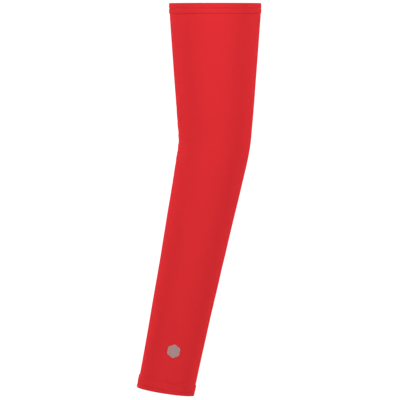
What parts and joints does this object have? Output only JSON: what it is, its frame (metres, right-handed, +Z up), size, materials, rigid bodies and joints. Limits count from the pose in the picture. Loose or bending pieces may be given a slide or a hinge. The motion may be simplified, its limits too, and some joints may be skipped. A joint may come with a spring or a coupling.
{
  "type": "compression arm sleeve",
  "caption": "Long knitted compression sleeve for arm and forearm, with a bend at the elbow, a gripping top hem, a turned wrist hem and a small reflective mark.",
  "frame": {"origin": "centre of the grip band inside the top hem, on the upper arm's axis", "axes": "+Z up the upper arm towards the shoulder, +X out of the back of the elbow, -Y the face with the reflective mark; the bend lies in the XZ plane"},
  "size_m": [0.1301, 0.0962, 0.4099],
  "materials": {
    "red_knit": "fine smooth polyester and elastane knit with a soft sheen",
    "red_thread": "twisted polyester sewing thread",
    "red_elastic": "ribbed knitted elastic",
    "clear_silicone": "clear soft silicone, glossy",
    "white_satin": "white satin ribbon, blank",
    "reflective_film": "silver-grey reflective transfer film, fine beads"
  },
  "bodies": {
    "upper_arm": {"upper_arm_panel": "red_knit", "elbow_stretch_zone": "red_knit", "seam_lap_upper": "red_knit", "seam_lap_elbow": "red_knit", "seam_needle_rows_upper": "red_thread", "seam_needle_rows_elbow": "red_thread", "top_hem": "red_knit", "grip_elastic": "red_elastic", "silicone_beads": "clear_silicone", "top_needle_row_upper": "red_thread", "top_needle_row_lower": "red_thread", "top_looper_rows": "red_thread", "top_bartack": "red_thread", "care_label": "white_satin"},
    "forearm": {"forearm_panel": "red_knit", "seam_lap_forearm": "red_knit", "seam_needle_rows_forearm": "red_thread", "wrist_hem": "red_knit", "wrist_needle_row_upper": "red_thread", "wrist_needle_row_lower": "red_thread", "wrist_looper_rows": "red_thread", "wrist_bartack": "red_thread", "reflective_mark": "reflective_film"}
  },
  "joints": [
    {"name": "elbow_bend", "type": "hinge", "parent": "upper_arm", "child": "forearm", "pos_m": [0, 0, -0.13915], "axis": [0, 1, 0], "range_deg": [-11.3, 110], "deforming": ["elbow_stretch_zone", "seam_lap_elbow", "seam_needle_rows_elbow"]}
  ]
}
